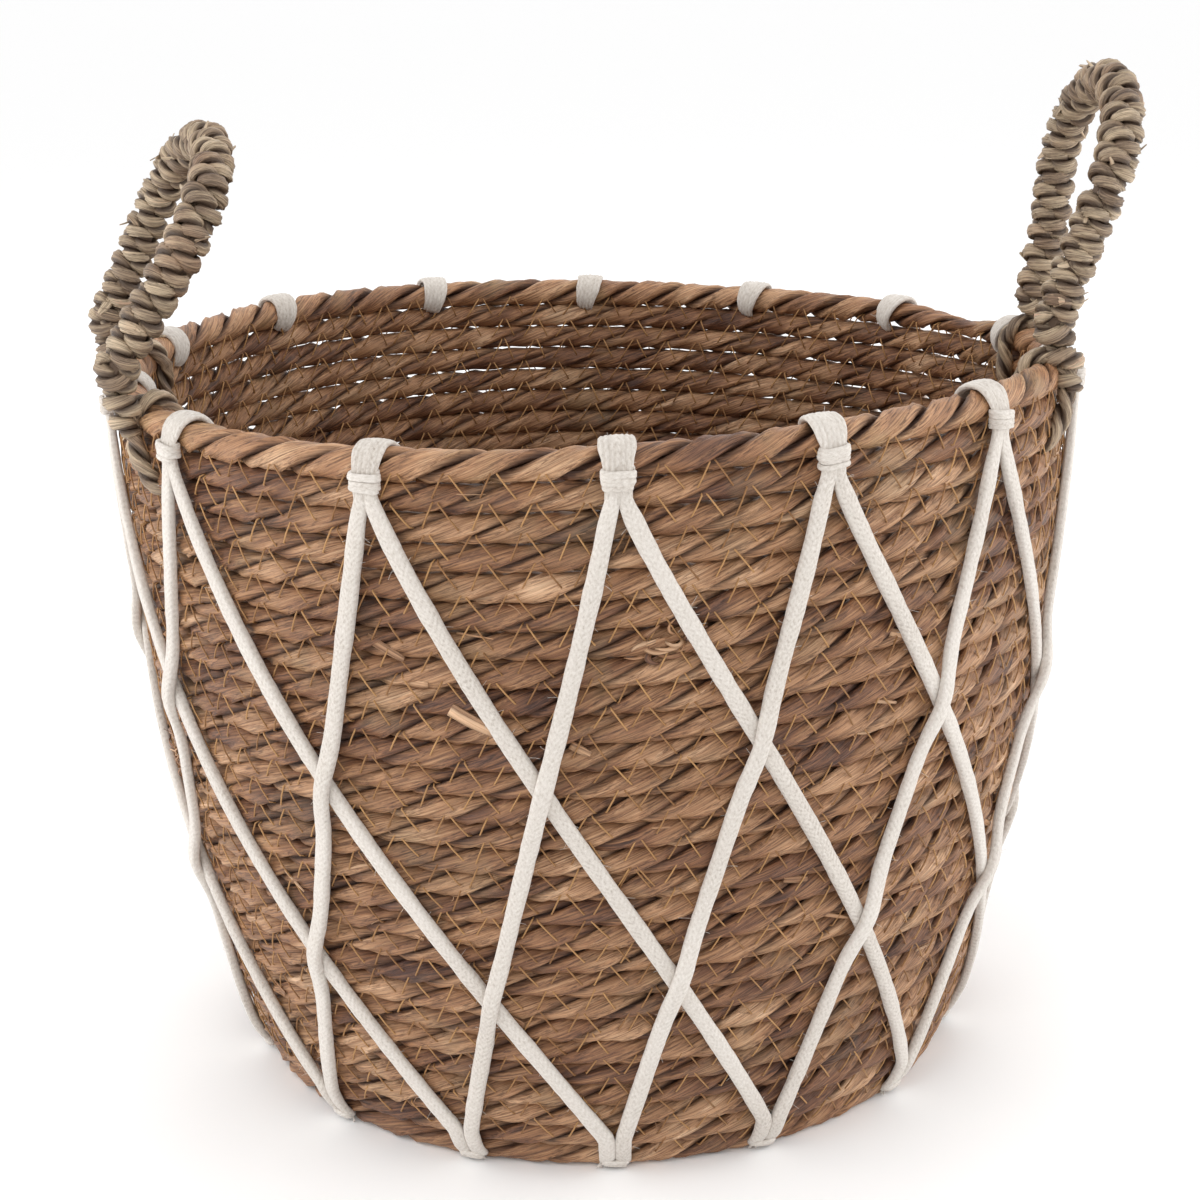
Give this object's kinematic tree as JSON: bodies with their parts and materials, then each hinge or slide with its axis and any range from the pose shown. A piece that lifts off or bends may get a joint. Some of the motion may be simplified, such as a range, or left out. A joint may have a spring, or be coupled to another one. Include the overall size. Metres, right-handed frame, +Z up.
{
  "type": "woven laundry basket",
  "caption": "Open tub of coiled and stitched rush rope, laced outside with crossing cotton cord, with a wound rope handle at each side of the rim",
  "frame": {"origin": "The middle of the flat underside, on the surface that the basket stands on.", "axes": "+Z is up through the open top. -Y is the front, and +X is the side of the handle that leans outward."},
  "size_m": [0.4297, 0.3779, 0.4237],
  "materials": {
    "rush": "twisted dried leaf, satin",
    "seagrass": "twisted dried grass, satin",
    "cotton": "soft matt",
    "thread": "matt"
  },
  "bodies": {
    "tub": {"base_coil": "rush", "base_tie_01": "cotton", "base_tie_02": "cotton", "base_tie_03": "cotton", "base_tie_04": "cotton", "base_tie_05": "cotton", "base_tie_06": "cotton", "base_tie_07": "cotton", "base_tie_08": "cotton", "base_tie_09": "cotton", "base_tie_10": "cotton", "base_tie_11": "cotton", "base_tie_12": "cotton", "base_tie_13": "cotton", "base_tie_14": "cotton", "lacing_cord_01": "cotton", "lacing_cord_02": "cotton", "lacing_cord_03": "cotton", "lacing_cord_04": "cotton", "lacing_cord_05": "cotton", "lacing_cord_06": "cotton", "lacing_cord_07": "cotton", "lacing_cord_08": "cotton", "lacing_cord_09": "cotton", "lacing_cord_10": "cotton", "lacing_cord_11": "cotton", "lacing_cord_12": "cotton", "lacing_cord_13": "cotton", "lacing_cord_14": "cotton", "left_back_foot_braid": "seagrass", "left_front_foot_braid": "seagrass", "right_back_foot_braid": "seagrass", "right_front_foot_braid": "seagrass", "rim_rope": "rush", "rim_whipping_01": "cotton", "rim_whipping_02": "cotton", "rim_whipping_03": "cotton", "rim_whipping_04": "cotton", "rim_whipping_05": "cotton", "rim_whipping_06": "cotton", "rim_whipping_07": "cotton", "rim_whipping_08": "cotton", "rim_whipping_09": "cotton", "rim_whipping_10": "cotton", "rim_whipping_11": "cotton", "rim_whipping_12": "cotton", "rim_whipping_13": "cotton", "rim_whipping_14": "cotton", "wall_coil": "rush"},
    "left_handle": {"left_handle_core": "seagrass", "left_handle_winding": "seagrass"},
    "right_handle": {"right_handle_core": "seagrass", "right_handle_winding": "seagrass"}
  },
  "joints": [
    {"name": "left_handle_hinge", "type": "hinge", "parent": "tub", "child": "left_handle", "pos_m": [-0.1959, -0.03157, 0.32283], "axis": [-0.1893, 0.9812, 0.037], "range_deg": [-115, 35]},
    {"name": "right_handle_hinge", "type": "hinge", "parent": "tub", "child": "right_handle", "pos_m": [0.18596, -0.02997, 0.32511], "axis": [0.1893, 0.9811, -0.039], "range_deg": [-80, 70]}
  ]
}
